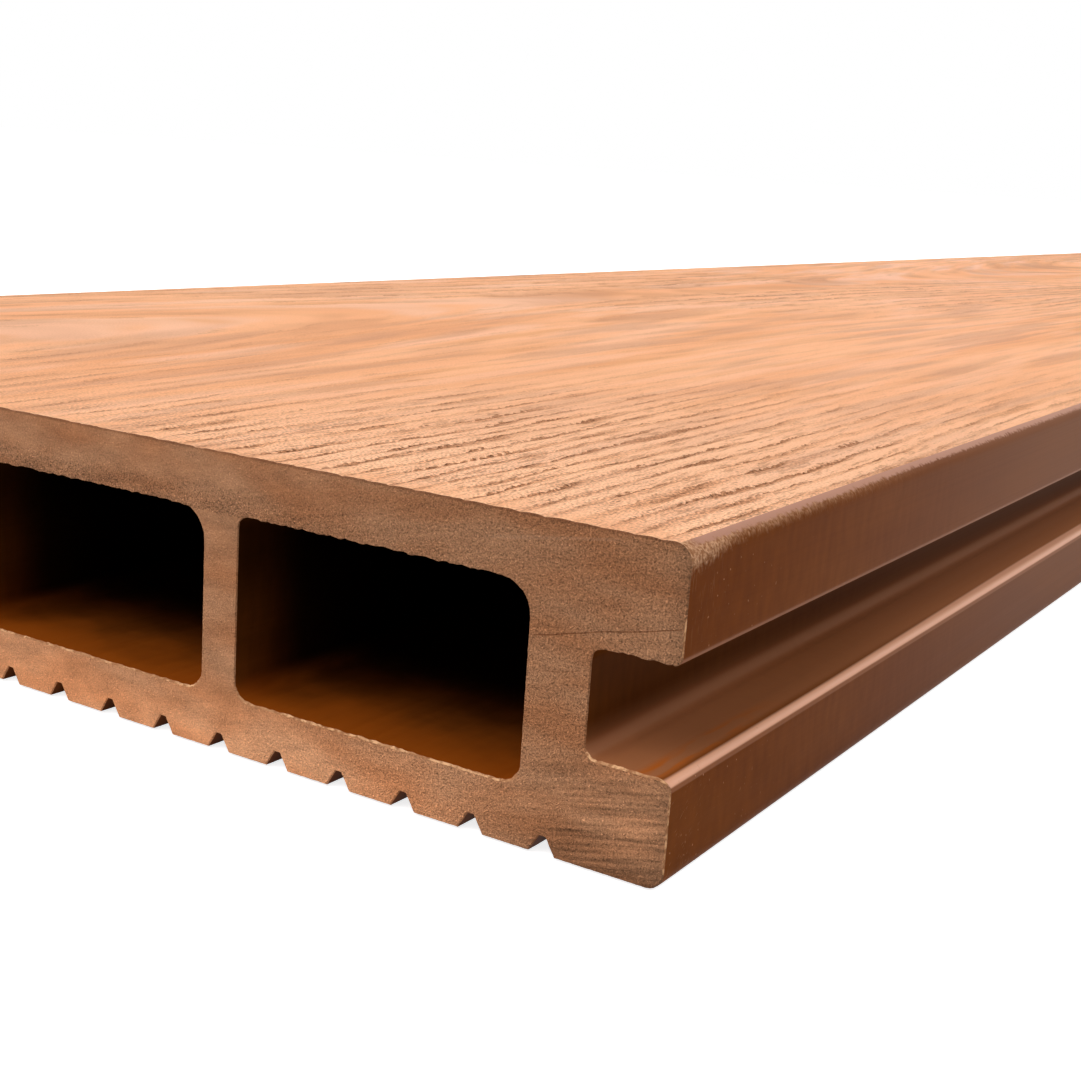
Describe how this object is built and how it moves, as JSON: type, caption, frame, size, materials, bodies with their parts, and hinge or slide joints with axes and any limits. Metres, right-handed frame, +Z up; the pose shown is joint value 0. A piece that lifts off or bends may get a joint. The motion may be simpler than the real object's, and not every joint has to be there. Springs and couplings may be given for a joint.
{
  "type": "decking board",
  "caption": "Long flat hollow composite decking board with a wood-grain walking face, grooved sides for hidden fixing clips and a ridged underside, sawn square at the ends.",
  "frame": {"origin": "middle of the underside", "axes": "+X along the board's length, +Y across its width, +Z up out of the walking face"},
  "size_m": [2.2, 0.146, 0.025],
  "materials": {
    "composite": "matte"
  },
  "bodies": {
    "root": {"decking_board": "composite"}
  },
  "joints": []
}
